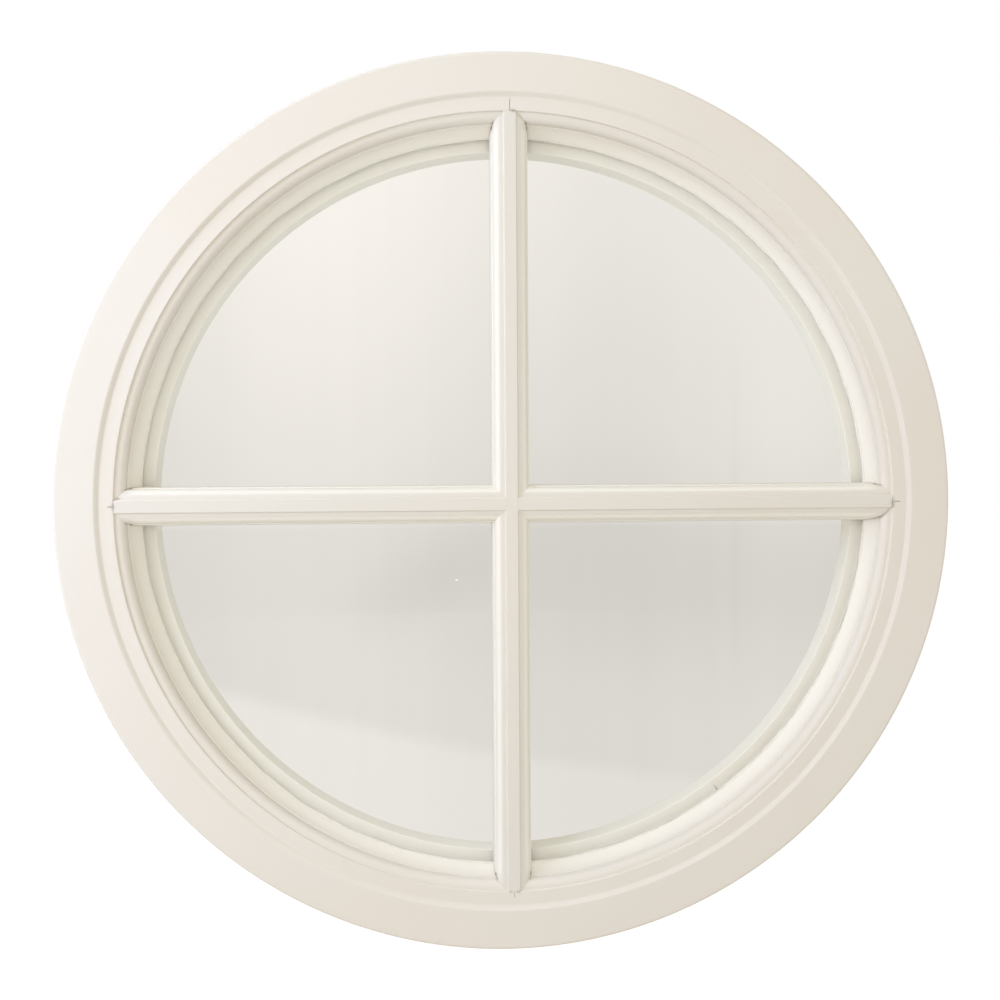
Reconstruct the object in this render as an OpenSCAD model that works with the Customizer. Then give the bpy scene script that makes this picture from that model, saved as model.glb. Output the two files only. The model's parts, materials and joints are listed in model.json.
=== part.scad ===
// Fixed round window: a rebated timber ring, one disc of glass and a cross of moulded glazing bars.
// The window stands upright. Outside is -Y, +X is to the right seen from outside, +Z is up.
// The origin is on the window's axis, halfway through the frame's depth.
// Angles round the ring run clockwise from the right, seen from outside.

/* [Frame] */
// Diameter over the rim
frame_d = 600; // [480:5:900]
// Width of the flat casing face round the bead
casing_w = 28.5; // [22:0.5:60]
// Thickness of the lip behind the glass
lip_depth = 15.5; // [14:0.5:40]
// Width of the lip that shows inside the bead
lip_show = 8.4; // [3:0.1:12]
// Radius on the rim's front and back edges
rim_round = 2.5; // [0.5:0.1:6]
// Radius on the casing's inner edge and on the lip's back edge
casing_round = 1.5; // [0.3:0.1:3]
// Angle of the felloe joint at lower right
felloe_joint_angle = 54.4; // [30:0.1:60]
// Width of the glue line in a felloe joint
felloe_joint_gap = 0.1; // [0.02:0.01:0.5]

/* [Felloe dowels] */
// Diameter of a dowel
dowel_d = 8; // [5:0.5:9]
// Length of a dowel
dowel_l = 50; // [30:1:70]
// Distance of the dowels from the lip's inner wall and from the rim
dowel_inset = 16; // [10:0.5:18]
// Clearance all round a dowel
dowel_play = 0.1; // [0.02:0.01:0.3]

/* [Moulding] */
// Height of the square drop beside the bead's fillet or a bar's nose
quirk_drop = 1.7; // [0.5:0.1:3]
// Width of the flat at the foot of that drop
quirk_w = 1.2; // [0.5:0.1:3]
// Radius of the bead's quarter round
ovolo_r = 4.9; // [4:0.1:7]
// Height of the square drop under the quarter round
ovolo_drop = 1.2; // [0.4:0.1:2]
// Width of the ledge at the foot of the quarter round
ledge_w = 0.9; // [0.3:0.1:3]
// Height of the square edge at the foot of the moulding
toe_h = 0.3; // [0.1:0.1:1]
// Radius on the top edge of the fillet and of a bar's nose
nose_round = 0.7; // [0.1:0.1:1.2]

/* [Bead] */
// How far the fillet lies behind the casing face
bead_set_back = 2; // [0.5:0.1:6]
// Depth of the bead, front to back
bead_depth = 16.5; // [14:0.5:30]
// Width of the flat fillet
fillet_w = 10.2; // [5:0.1:20]
// Width of the chamfer from the ledge to the glass
chamfer_w = 5; // [2:0.1:8]
// Clearance between the bead and the rebate's wall
bead_gap = 0.3; // [0.05:0.05:1]
// Width of the butt joints between bead quarters
bead_joint_gap = 0.3; // [0.05:0.05:1]

/* [Bead pins] */
// Diameter of a pin's shank
pin_d = 1.6; // [1:0.1:2.5]
// Length of a pin
pin_l = 30; // [22:1:34]
// Diameter of a pin's head
pin_head_d = 2.4; // [1.8:0.1:3.5]
// Height of a pin's head
pin_head_h = 1; // [0.5:0.1:2]
// How far a pin's head is punched below the quarter round
pin_punch = 3; // [1:0.1:5]
// Angle from a bead joint to the nearest pin
pin_end_angle = 15; // [5:1:30]
// Clearance all round a pin
pin_play = 0.05; // [0.02:0.01:0.2]

/* [Glazing] */
// Thickness of the glass
glass_t = 4; // [3:0.5:12]
// Gap between the edge of the glass and the rebate's wall
glass_edge_gap = 5; // [3:0.1:8]
// Chamfer on the edges of the glass
glass_chamfer = 0.5; // [0.1:0.1:1]
// Thickness of the bedding on each face of the glass
bedding_t = 1; // [0.5:0.1:3]
// How far the bedding shows inside the bead
bedding_show = 0.2; // [0.1:0.1:0.2]
// How far the bedding stops short of the edge of the glass
bedding_edge = 1; // [0.6:0.1:4]
// Length of a setting block round the ring
block_l = 30; // [15:1:60]
// Angle of the setting blocks from the vertical
block_angle = 30; // [15:1:60]
// Clearance of a setting block to the glass and to the frame
block_play = 0.1; // [0.05:0.05:0.5]

/* [Glazing bars] */
// Width of a bar's flat nose
nose_w = 8.8; // [5:0.1:20]
// Radius of a bar's quarter round
bar_ovolo_r = 5.8; // [4:0.1:7]
// Width of the slope from a bar's ledge to the glass
bar_foot_w = 0.8; // [0.2:0.1:4]
// How far the outer bars' noses lie behind the fillet
bar_set_back = 0; // [0:0.1:1.2]
// How far the inner bars' noses lie inside the frame's back
rear_bar_recess = 3.5; // [1:0.1:4]
// Clearance of a bar's end to the bead or the lip
cope_gap = 0.3; // [0.2:0.05:0.6]
// How far the outer bars' copes are cut above the bead's flats
cope_lift = 0.1; // [0.05:0.05:0.3]
// Clearance where the left and right bars meet the vertical one
cross_gap = 0.1; // [0.02:0.01:0.3]
// Thickness of the adhesive tape under a bar
tape_t = 0.8; // [0.3:0.1:0.9]
// Width of the adhesive tape
tape_w = 18; // [8:0.5:22]
// How far the tape stops short of a bar's end
tape_inset = 3; // [1:0.5:20]

/* [Hidden] */
$fn = 180;

timber_paint = "#f1ece2";
bead_paint = "#ede7dc";
bar_paint = "#f3eee5";
clear_glass = [0.86, 0.9, 0.89, 0.35];
bedding_grey = "#8f8a82";
tape_white = "#dedcd6";
block_black = "#2b2b2b";
beech = "#d3b183";
steel = "#b8bcc0";

// The ring and the bead are each made of four like lengths
quarters = [0, 1, 2, 3];
quarter = 360 / len(quarters);
sides = [0, 1];
// Overlap of a cutting shape past the face that it cuts
over = 1;

// Depths, as places along Y from the casing face to the frame's back
frame_depth = bead_set_back + bead_depth + 2 * bedding_t + glass_t + lip_depth;
face_y = -frame_depth / 2;
back_y = frame_depth / 2;
fillet_y = face_y + bead_set_back;
bead_back_y = fillet_y + bead_depth;
glass_front_y = bead_back_y + bedding_t;
glass_back_y = glass_front_y + glass_t;
lip_y = glass_back_y + bedding_t;

// Radii, from the rim inwards
rim_r = frame_d / 2;
rebate_r = rim_r - casing_w;
bead_r = rebate_r - bead_gap;
toe_r = bead_r - fillet_w - quirk_w - ovolo_r - ledge_w - chamfer_w;
lip_r = toe_r - lip_show;
glass_r = rebate_r - glass_edge_gap;
bedding_in_r = toe_r - bedding_show;
bedding_out_r = glass_r - bedding_edge;

// Bars: the outer ones stand forward from the glass, the inner ones backward
bar_base_y = glass_front_y - tape_t;
bar_depth = bar_base_y - fillet_y - bar_set_back;
bar_half_w = nose_w / 2 + quirk_w + bar_ovolo_r + ledge_w + bar_foot_w;
rear_bar_base_y = glass_back_y + tape_t;
rear_bar_depth = back_y - rear_bar_recess - rear_bar_base_y;

dowel_radii = [lip_r + dowel_inset, rim_r - dowel_inset];
dowel_y = lip_y + lip_depth / 2;
pin_y = fillet_y + quirk_drop + ovolo_r;
pin_head_r = bead_r - fillet_w - quirk_w - ovolo_r + pin_punch;
pin_angles = [for (k = quarters, a = [pin_end_angle, quarter / 2, quarter - pin_end_angle]) k * quarter + a];
block_angles = [for (k = [1, 3], side = [-1, 1]) k * quarter + side * block_angle];

// The angle that a width takes up round the ring at a radius
function arc_angle(width, radius) = width / radius * 180 / PI;

// Turns a section of radius and Y through an angle round the window's axis
module ring(from = 0, sweep = 360)
  rotate([-90, 0, 0])
    rotate([0, 0, from])
      rotate_extrude(angle = sweep)
        children();

// Stands a piece on the ring: X points outwards, Y clockwise round the ring and Z along the window's axis
module round_ring(angle)
  rotate([-90, 0, 0])
    rotate([0, 0, angle])
      children();

// What is taken off a corner to round it: toward points from the corner into the solid
module corner_waste(corner, toward, radius)
  translate(corner)
    difference() {
      translate(toward * (radius - over) / 2) square(radius + over, center = true);
      translate(toward * radius) circle(radius);
    }

// Half of the moulding, from its flat top at the left to its toe at the right, standing on the X axis.
// The foot reaches below the axis by an extra depth where the moulding is used as a cutter.
module moulding(top_w, round_r, depth, foot_w, below = 0) {
  quirk_x = top_w + quirk_w;
  ledge_x = quirk_x + round_r;
  foot_x = ledge_x + ledge_w;
  quirk_h = depth - quirk_drop;
  ovolo_h = quirk_h - round_r;
  ledge_h = ovolo_h - ovolo_drop;
  difference() {
    polygon([
      [0, -below], [foot_x + foot_w, -below], [foot_x + foot_w, toe_h], [foot_x, ledge_h], [ledge_x, ledge_h],
      [ledge_x, ovolo_h], [quirk_x, ovolo_h], [quirk_x, quirk_h], [top_w, quirk_h], [top_w, depth], [0, depth],
    ]);
    corner_waste([top_w, depth], [-1, -1], nose_round);
  }
  intersection() {
    translate([quirk_x, ovolo_h]) circle(round_r);
    translate([quirk_x, ovolo_h]) square(round_r);
  }
}

// Section of the frame: casing, rebate and lip, with rounded edges
module felloe_section()
  difference() {
    polygon([
      [rim_r, face_y], [rim_r, back_y], [lip_r, back_y], [lip_r, lip_y], [rebate_r, lip_y], [rebate_r, face_y],
    ]);
    corner_waste([rim_r, face_y], [-1, 1], rim_round);
    corner_waste([rim_r, back_y], [-1, -1], rim_round);
    corner_waste([rebate_r, face_y], [1, 1], casing_round);
    corner_waste([lip_r, back_y], [1, -1], casing_round);
  }

// Section of the bead. Grown inwards by a clearance and lifted, it is the cutter that copes the bars' ends.
module bead_section(grow = 0, lift = 0)
  translate([bead_r, bead_back_y - lift])
    rotate(180)
      moulding(fillet_w + grow, ovolo_r, bead_depth, chamfer_w, lift > 0 ? lift + over : 0);

// Section of a bar that stands on its tape, both halves of the moulding back to back
module bar_section(depth, grow = 0)
  for (side = sides)
    mirror([side, 0])
      translate([0, grow])
        moulding(nose_w / 2 + grow, bar_ovolo_r, depth, bar_foot_w, grow > 0 ? grow + over : 0);

// Upright length of outer bar, before its ends are cut
module front_blank(grow = 0)
  linear_extrude(height = 2 * bead_r - fillet_w, center = true)
    translate([0, bar_base_y])
      rotate(180)
        bar_section(bar_depth, grow);

// Upright length of inner bar, before its ends are cut
module rear_blank(grow = 0)
  linear_extrude(height = 2 * lip_r, center = true)
    translate([0, rear_bar_base_y])
      bar_section(rear_bar_depth, grow);

// Keeps the part of a level bar that lies to one side of the window's axis: -1 is left, 1 is right
module one_side(side)
  intersection() {
    rotate([0, 90, 0]) children();
    translate([side * rim_r, 0, 0]) cube([2 * rim_r, frame_depth, 2 * bar_half_w + over], center = true);
  }

// Outer level bar: its inner end is scribed to the vertical bar, its outer end coped over the bead
module front_side_bar(side)
  difference() {
    one_side(side) front_blank();
    front_blank(cross_gap);
    ring() bead_section(cope_gap, cope_lift);
  }

// Inner level bar: its inner end is scribed to the vertical bar, its outer end cut to the lip's wall
module rear_side_bar(side)
  difference() {
    intersection() {
      one_side(side) rear_blank();
      lip_opening();
    }
    rear_blank(cross_gap);
  }

// The round hole through the lip, less the bars' clearance
module lip_opening()
  rotate([90, 0, 0]) cylinder(r = lip_r - cope_gap, h = frame_depth + over, center = true);

// Pair of dowels in a felloe joint, or their holes when grown by a clearance
module dowel_pair(angle, grow = 0)
  for (radius = dowel_radii)
    round_ring(angle)
      translate([radius, 0, dowel_y])
        rotate([90, 0, 0])
          cylinder(d = dowel_d + 2 * grow, h = dowel_l + 2 * grow, center = true);

// Pin through the bead into the frame, or its hole when grown by a clearance
module bead_pin(angle, grow = 0)
  round_ring(angle)
    translate([pin_head_r - grow, 0, pin_y])
      rotate([0, 90, 0]) {
        cylinder(d = pin_d + 2 * grow, h = pin_l + 2 * grow);
        cylinder(d = pin_head_d + 2 * grow, h = pin_head_h + 2 * grow);
      }

// Curved length of frame from one felloe joint to the next, counted clockwise from the lower right joint
module felloe(index) {
  joint = felloe_joint_angle + index * quarter;
  half_gap = arc_angle(felloe_joint_gap, rim_r) / 2;
  difference() {
    ring(joint + half_gap, quarter - 2 * half_gap) felloe_section();
    dowel_pair(joint, dowel_play);
    dowel_pair(joint + quarter, dowel_play);
    for (angle = pin_angles) bead_pin(angle, pin_play);
  }
}

// Quarter of the bead ring, counted clockwise from the lower right one
module bead_quarter(index) {
  half_gap = arc_angle(bead_joint_gap, bead_r) / 2;
  difference() {
    ring(index * quarter + half_gap, quarter - 2 * half_gap) bead_section();
    for (angle = pin_angles) bead_pin(angle, pin_play);
  }
}

// Ring of bedding compound between two places along Y
module bedding_ring(y)
  ring()
    translate([bedding_in_r, y])
      square([bedding_out_r - bedding_in_r, bedding_t]);

// Strips of tape under one vertical bar and two level ones, on a face of the glass
module tape_cross(y, half_l) {
  half_w = tape_w / 2;
  translate([-half_w, y, -half_l]) cube([tape_w, tape_t, 2 * half_l]);
  for (side = sides)
    mirror([side, 0, 0])
      translate([bar_half_w + tape_inset, y, -half_w])
        cube([half_l - bar_half_w - tape_inset, tape_t, tape_w]);
}

module frame_felloe_bottom() color(timber_paint) felloe(0);

module frame_felloe_left() color(timber_paint) felloe(1);

module frame_felloe_top() color(timber_paint) felloe(2);

module frame_felloe_right() color(timber_paint) felloe(3);

module frame_dowels()
  color(beech)
    for (k = quarters) dowel_pair(felloe_joint_angle + k * quarter);

module bead_lower_right() color(bead_paint) bead_quarter(0);

module bead_lower_left() color(bead_paint) bead_quarter(1);

module bead_upper_left() color(bead_paint) bead_quarter(2);

module bead_upper_right() color(bead_paint) bead_quarter(3);

module bead_pins()
  color(steel)
    for (angle = pin_angles) bead_pin(angle);

module glass_pane()
  color(clear_glass)
    ring()
      polygon([
        [0, glass_front_y], [glass_r - glass_chamfer, glass_front_y], [glass_r, glass_front_y + glass_chamfer],
        [glass_r, glass_back_y - glass_chamfer], [glass_r - glass_chamfer, glass_back_y], [0, glass_back_y],
      ]);

module front_bedding() color(bedding_grey) bedding_ring(bead_back_y);

module rear_bedding() color(bedding_grey) bedding_ring(glass_back_y);

module setting_blocks() {
  block_turn = arc_angle(block_l, rebate_r);
  color(block_black)
    for (angle = block_angles)
      ring(angle - block_turn / 2, block_turn)
        translate([glass_r + block_play, glass_front_y])
          square([glass_edge_gap - 2 * block_play, glass_t]);
}

module bar_vertical()
  color(bar_paint)
    difference() {
      front_blank();
      ring() bead_section(cope_gap, cope_lift);
    }

module bar_left() color(bar_paint) front_side_bar(-1);

module bar_right() color(bar_paint) front_side_bar(1);

module front_bar_tape() color(tape_white) tape_cross(bar_base_y, toe_r - cope_gap - tape_inset);

module rear_bar_vertical()
  color(bar_paint)
    intersection() {
      rear_blank();
      lip_opening();
    }

module rear_bar_left() color(bar_paint) rear_side_bar(-1);

module rear_bar_right() color(bar_paint) rear_side_bar(1);

module rear_bar_tape() color(tape_white) tape_cross(glass_back_y, lip_r - cope_gap - tape_inset);

frame_felloe_right();
frame_felloe_bottom();
frame_felloe_left();
frame_felloe_top();
frame_dowels();
bead_lower_right();
bead_lower_left();
bead_upper_left();
bead_upper_right();
bead_pins();
glass_pane();
front_bedding();
rear_bedding();
setting_blocks();
bar_vertical();
bar_left();
bar_right();
front_bar_tape();
rear_bar_vertical();
rear_bar_left();
rear_bar_right();
rear_bar_tape();
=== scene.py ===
import json
import math

import bmesh
import bpy
import numpy as np
from bpy.props import FloatProperty, FloatVectorProperty, PointerProperty
from mathutils import Matrix, Vector

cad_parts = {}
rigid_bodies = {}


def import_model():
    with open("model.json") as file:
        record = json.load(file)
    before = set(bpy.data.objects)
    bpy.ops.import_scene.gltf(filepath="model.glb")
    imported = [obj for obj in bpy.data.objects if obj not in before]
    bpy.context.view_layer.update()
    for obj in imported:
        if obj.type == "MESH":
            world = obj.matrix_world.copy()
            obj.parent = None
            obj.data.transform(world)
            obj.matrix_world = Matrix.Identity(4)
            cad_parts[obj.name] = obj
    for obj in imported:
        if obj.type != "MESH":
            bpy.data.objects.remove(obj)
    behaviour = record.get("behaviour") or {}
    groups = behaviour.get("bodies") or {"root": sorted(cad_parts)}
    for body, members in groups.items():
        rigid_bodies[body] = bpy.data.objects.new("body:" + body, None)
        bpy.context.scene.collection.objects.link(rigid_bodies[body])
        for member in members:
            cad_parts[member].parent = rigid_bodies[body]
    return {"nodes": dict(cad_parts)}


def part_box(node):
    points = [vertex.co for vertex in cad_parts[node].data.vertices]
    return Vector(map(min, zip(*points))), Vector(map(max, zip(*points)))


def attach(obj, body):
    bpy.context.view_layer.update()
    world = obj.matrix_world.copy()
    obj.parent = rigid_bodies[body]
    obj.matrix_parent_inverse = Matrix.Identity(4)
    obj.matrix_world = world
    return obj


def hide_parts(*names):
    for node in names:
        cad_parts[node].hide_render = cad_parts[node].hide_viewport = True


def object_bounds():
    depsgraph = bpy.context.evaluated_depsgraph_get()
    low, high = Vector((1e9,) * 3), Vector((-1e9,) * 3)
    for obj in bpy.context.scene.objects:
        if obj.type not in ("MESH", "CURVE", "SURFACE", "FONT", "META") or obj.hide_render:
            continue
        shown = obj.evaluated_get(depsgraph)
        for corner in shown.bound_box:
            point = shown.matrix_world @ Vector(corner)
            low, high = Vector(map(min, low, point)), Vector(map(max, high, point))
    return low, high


bl_info = {
    "name": "Round window",
    "version": (1, 0, 0),
    "blender": (4, 5, 0),
    "location": "3D View > Sidebar > Round window",
    "description": "Dresses a fixed round timber window: painted ring, moulded bead, bars and glass",
    "category": "Object",
}

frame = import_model()
CAD_BOX = [list(corner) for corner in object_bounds()]
BODY = "root"
MM = 0.001
PHOTO_PIXELS = 1000
QUARTER = math.pi / 2


def depth_of(node):
    """Front and back of a node along the window's axis, from the frame."""
    low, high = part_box(node)
    return low[1], high[1]


FACE_Y, BACK_Y = depth_of("frame_felloe_top")
FILLET_Y, BEAD_BACK_Y = depth_of("bead_upper_left")
FRONT_BEDDING_Y = depth_of("front_bedding")
REAR_BEDDING_Y = depth_of("rear_bedding")
GLASS_FRONT_Y, GLASS_BACK_Y = depth_of("glass_pane")
LIP_Y = REAR_BEDDING_Y[1]
BAR_NOSE_Y = depth_of("bar_vertical")[0]
REAR_BAR_NOSE_Y = depth_of("rear_bar_vertical")[1]
# Hair's breadth that keeps the faces of two pieces apart
SEAL = 0.02 * MM
# Depth at which the paint in the casing's joint meets the bead
JOINT_Y = FACE_Y + 1.3 * MM
BAR_BASE_Y = GLASS_FRONT_Y - SEAL
REAR_BAR_BASE_Y = GLASS_BACK_Y + SEAL
GLASS_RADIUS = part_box("glass_pane")[1][0]
# Points this close to a moulding's base belong to the round on its bottom edge
BASE_EDGE = 0.06 * MM
# Rows of points along a felloe, round the glass and round the bedding
FELLOE_ROWS = 161
GLASS_ROWS = 361
BEDDING_ROWS = 721

FELLOES = ["frame_felloe_bottom", "frame_felloe_left", "frame_felloe_top", "frame_felloe_right"]
BEADS = ["bead_lower_right", "bead_lower_left", "bead_upper_left", "bead_upper_right"]
BAR_TAPES = ("front_bar_tape", "rear_bar_tape")

# Where the joint before each bead quarter shows open: inner radius, outer radius and width in mm
BEAD_JOINTS = [(262.5, 266.0, 0.4), (262.0, 264.8, 0.25), (262.0, 264.6, 0.5), (261.0, 268.6, 0.3)]

# The bar's end at that joint, and the sign of its places clockwise round the ring
BEAD_ENDS = [("right", 1), ("bottom", -1), ("left", 1), ("top", 1)]

# Open spots in the copes at the bars' ends: place across the bar, depth and half width in mm. Places run
# from left to right on the upright bar, downwards on the right bar and upwards on the left bar.
COPE_SPOTS = {
    "top": [(-11.9, 1.8, 0.9), (11.9, 2.0, 1.1), (2.2, 0.8, 2.0), (7.0, 0.5, 2.0)],
    "bottom": [(-11.9, 1.5, 0.8), (11.9, 1.5, 0.8), (-2.4, 0.5, 1.1), (3.0, 0.6, 1.6)],
    "right": [(-11.9, 1.7, 0.9), (11.6, 2.4, 1.5), (7.5, 0.7, 3.0), (1.0, 0.9, 3.5)],
    "left": [(11.9, 1.5, 0.8), (5.2, 1.6, 0.8), (-11.9, 1.5, 0.8), (0.0, 0.6, 3.5)],
}
TIGHT = [(0.0, 0.0, 1.0)]

# How far dirt and painted shade spread from a cope, on the bar and on the bead
BAR_DIRT_AND_SHADE = 0.6 * MM
BEAD_DIRT_AND_SHADE = 0.9 * MM

# How far an open spot in a bead joint takes to close
JOINT_FADE = 0.6 * MM

# Crack in the lip's joint: where it starts outside the lip's edge, how far it takes to open to its full
# width, how deep it goes behind the lip's face, and how far it takes to close there
CRACK_START = 2.5 * MM
CRACK_RUN = 6 * MM
CRACK_DEPTH = 1.5 * MM
CRACK_FADE = 1 * MM

# Waver of the bedding's tooled edge, and how far in from the edge it is felt
TOOLED_WAVER = 0.12 * MM
TOOLED_WIDTH = 2 * MM

# Middle of the paint fleck on the pane, and its half width, half height and rise
FLECK_PLACE = (-37.0 * MM, -52.4 * MM)
FLECK_SIZE = (1.1 * MM, 0.55 * MM, 0.12 * MM)


def length(name, description, default):
    """Property that holds a length, written in millimetres and kept in metres."""
    size = default * MM
    return FloatProperty(name=name, description=description, default=size, unit="LENGTH", precision=5)


def angle_of(name, description, default):
    """Property that holds an angle, written in degrees and kept in radians."""
    return FloatProperty(name=name, description=description, default=math.radians(default), subtype="ANGLE")


def colour(name, description, default):
    """Property that holds a colour, as linear red, green and blue."""
    return FloatVectorProperty(name=name, description=description, default=default, subtype="COLOR", size=3)


class RingSizes(bpy.types.PropertyGroup):
    """Sizes of the timber ring and of what lies in its rebate."""

    rim_radius: length("Rim radius", "Radius over the rim", 300)
    casing_width: length("Casing width", "Width of the flat casing face", 28.5)
    rim_round: length("Rim round", "Radius on the rim's edges", 2.5)
    lip_round: length("Lip round", "Radius on the lip's back edge", 1.5)
    lip_radius: length("Lip radius", "Radius of the hole through the lip", 240.6)
    felloe_gap: length("Felloe gap", "Width of the glue line in a felloe joint", 0.004)
    crack_width: length("Crack width", "Width of the open joint in the lip", 0.7)
    felloe_angle: angle_of("Felloe joint angle", "Place of the cracked joint, clockwise from right", 54.4)
    bedding_edge: length("Bedding edge", "From the bedding to the edge of the glass", 1)
    bedding_show: length("Bedding show", "How far the bedding shows inside the bead", 0.1)
    bedding_fillet: length("Bedding fillet", "How far the outer bedding slopes out", 1.1)
    glass_chamfer: length("Glass chamfer", "Chamfer on the edges of the glass", 0.5)


class MouldingSizes(bpy.types.PropertyGroup):
    """Sizes of the moulding that runs along the bead and the bars."""

    quirk_drop: length("Quirk drop", "Height of the drop beside the fillet or nose", 1.7)
    quirk_width: length("Quirk width", "Width of the flat at the foot of that drop", 1.2)
    ovolo_radius: length("Ovolo radius", "Radius of the bead's quarter round", 4.9)
    ovolo_drop: length("Ovolo drop", "Height of the drop under the quarter round", 1.2)
    ledge_width: length("Ledge width", "Width of the ledge under the quarter round", 0.9)
    toe_height: length("Toe height", "Height of the moulding's square toe", 0.3)
    nose_round: length("Nose round", "Radius on the edge of the fillet or nose", 0.7)
    paint_round: length("Paint round", "Radius that the paint leaves in a crease", 0.3)
    joint_slope: FloatProperty(name="Joint slope", description="Run over rise of joint paint", default=1.3)
    bead_radius: length("Bead radius", "Radius over the bead and its joint's paint", 271.45)
    fillet_width: length("Fillet width", "Width of the bead's flat fillet", 10.45)
    chamfer_width: length("Chamfer width", "Width of the bead's chamfer down to the glass", 5)
    bead_gap: length("Bead gap", "Width of a painted-over bead joint", 0.004)
    nose_width: length("Nose width", "Width of a bar's flat nose", 8.8)
    bar_ovolo_radius: length("Bar ovolo radius", "Radius of a bar's quarter round", 5.8)
    foot_width: length("Foot width", "Width of the slope under a bar's ledge", 0.8)
    cope_gap: length("Cope gap", "Clearance of a bar's end to the bead or the lip", 0.06)
    cross_gap: length("Cross gap", "Clearance where the bars meet", 0.02)


class FinishColours(bpy.types.PropertyGroup):
    """Colours of the paint, glass and fixings."""

    paint: colour("Paint", "Cream white paint on the ring and bead", (0.853, 0.813, 0.729))
    bar_paint: colour("Bar paint", "Paint on the bars, a little duller", (0.82, 0.79, 0.711))
    paint_aged: colour("Aged paint", "Paint where it has yellowed a little", (0.835, 0.77, 0.665))
    # Dark colour of dust and dirt in the creases, which also paints the shade in the creases and at the
    # bars' copes
    grime: colour("Grime", "Dust and dirt in the creases", (0.38, 0.32, 0.25))
    bedding: colour("Bedding", "Glazing compound round the glass", (0.88, 0.84, 0.76))
    glass: colour("Glass", "Tint of the glass", (0.98, 0.985, 0.98))
    beech: colour("Beech", "Dowels in the felloe joints", (0.55, 0.36, 0.19))
    steel: colour("Steel", "Pins through the bead", (0.55, 0.55, 0.56))
    block: colour("Block", "Setting blocks round the glass", (0.03, 0.03, 0.03))
    tape: colour("Tape", "Adhesive tape under the bars", (0.62, 0.61, 0.58))


def ring_sizes():
    return bpy.context.scene.window_ring


def moulding_sizes():
    return bpy.context.scene.window_moulding


def finish_colours():
    return bpy.context.scene.window_colours


def softened(corners, radii, marks, steps=6, support=0.3 * MM):
    """Outline with each corner turned into an arc.

    A corner c between unit directions a and b, with half angle h, has an arc of radius q about
    c + (a + b) / |a + b| * q / sin(h). It starts and ends q / tan(h) from the corner. A support point on
    each side keeps the flats flat, at most a third along what is left of the edge. Returns the points and a
    mark for each of them, which is the corner's own on its arc.
    """
    corners = np.asarray(corners, float)
    edges = np.roll(corners, -1, axis=0) - corners
    lengths = np.linalg.norm(edges, axis=1)
    ahead = edges / lengths[:, None]
    behind = -np.roll(ahead, 1, axis=0)
    half = np.arccos(np.clip(np.sum(ahead * behind, axis=1), -1, 1)) / 2
    reach = np.asarray(radii) / np.tan(half)
    room = np.clip((lengths - reach - np.roll(reach, -1)) / 3, 0, support)
    points = []
    weights = []
    for i, corner in enumerate(corners):
        middle = ahead[i] + behind[i]
        centre = corner + middle / np.linalg.norm(middle) * radii[i] / math.sin(half[i])
        first = corner + behind[i] * reach[i] - centre
        last = corner + ahead[i] * reach[i] - centre
        turn = math.pi - 2 * half[i]
        count = steps * max(1, round(radii[i] / MM / 2))
        share = np.linspace(0, 1, count + 1)[:, None]
        arc = (np.sin((1 - share) * turn) * first + np.sin(share * turn) * last) / math.sin(turn)
        before = corner + behind[i] * (reach[i] + room[i - 1])
        after = corner + ahead[i] * (reach[i] + room[i])
        points.append(np.vstack([before, centre + arc, after]))
        weights.append(np.concatenate([[0], np.full(count + 1, marks[i]), [0]]))
    return np.vstack(points), np.concatenate(weights)


def filled(points, marks, longest):
    """Closed outline with points added along it, so no edge is longer than given."""
    after = np.roll(points, -1, axis=0)
    counts = np.maximum(1, np.ceil(np.linalg.norm(after - points, axis=1) / longest)).astype(int)
    owner = np.repeat(np.arange(len(points)), counts)
    step = np.arange(len(owner)) - np.repeat(np.cumsum(counts) - counts, counts)
    share = step / counts[owner]
    dense = points[owner] + (after - points)[owner] * share[:, None]
    return dense, marks[owner] * (1 - share) + np.roll(marks, -1)[owner] * share


def rising(values):
    """Values with a billionth more at each place, so that np.interp takes flats as rising too."""
    return values + np.arange(len(values)) * 1e-9


def run_lengths(points):
    """Distance along an outline from its first point to each point."""
    gaps = np.linalg.norm(np.diff(points, axis=0), axis=1)
    return np.concatenate([[0], np.cumsum(gaps)])


def grid_quads(rows, columns, first=0, closed=False):
    """Corner numbers of a grid's quads, row by row; a closed grid joins its last column to its first."""
    row = np.arange(rows - 1)[:, None]
    column = np.arange(columns if closed else columns - 1)[None, :]
    after = (column + 1) % columns
    here = row * columns
    below = here + columns
    corners = [here + column, here + after, below + after, below + column]
    return first + np.stack([c + 0 * row + 0 * column for c in corners], -1).reshape(-1, 4)


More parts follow.
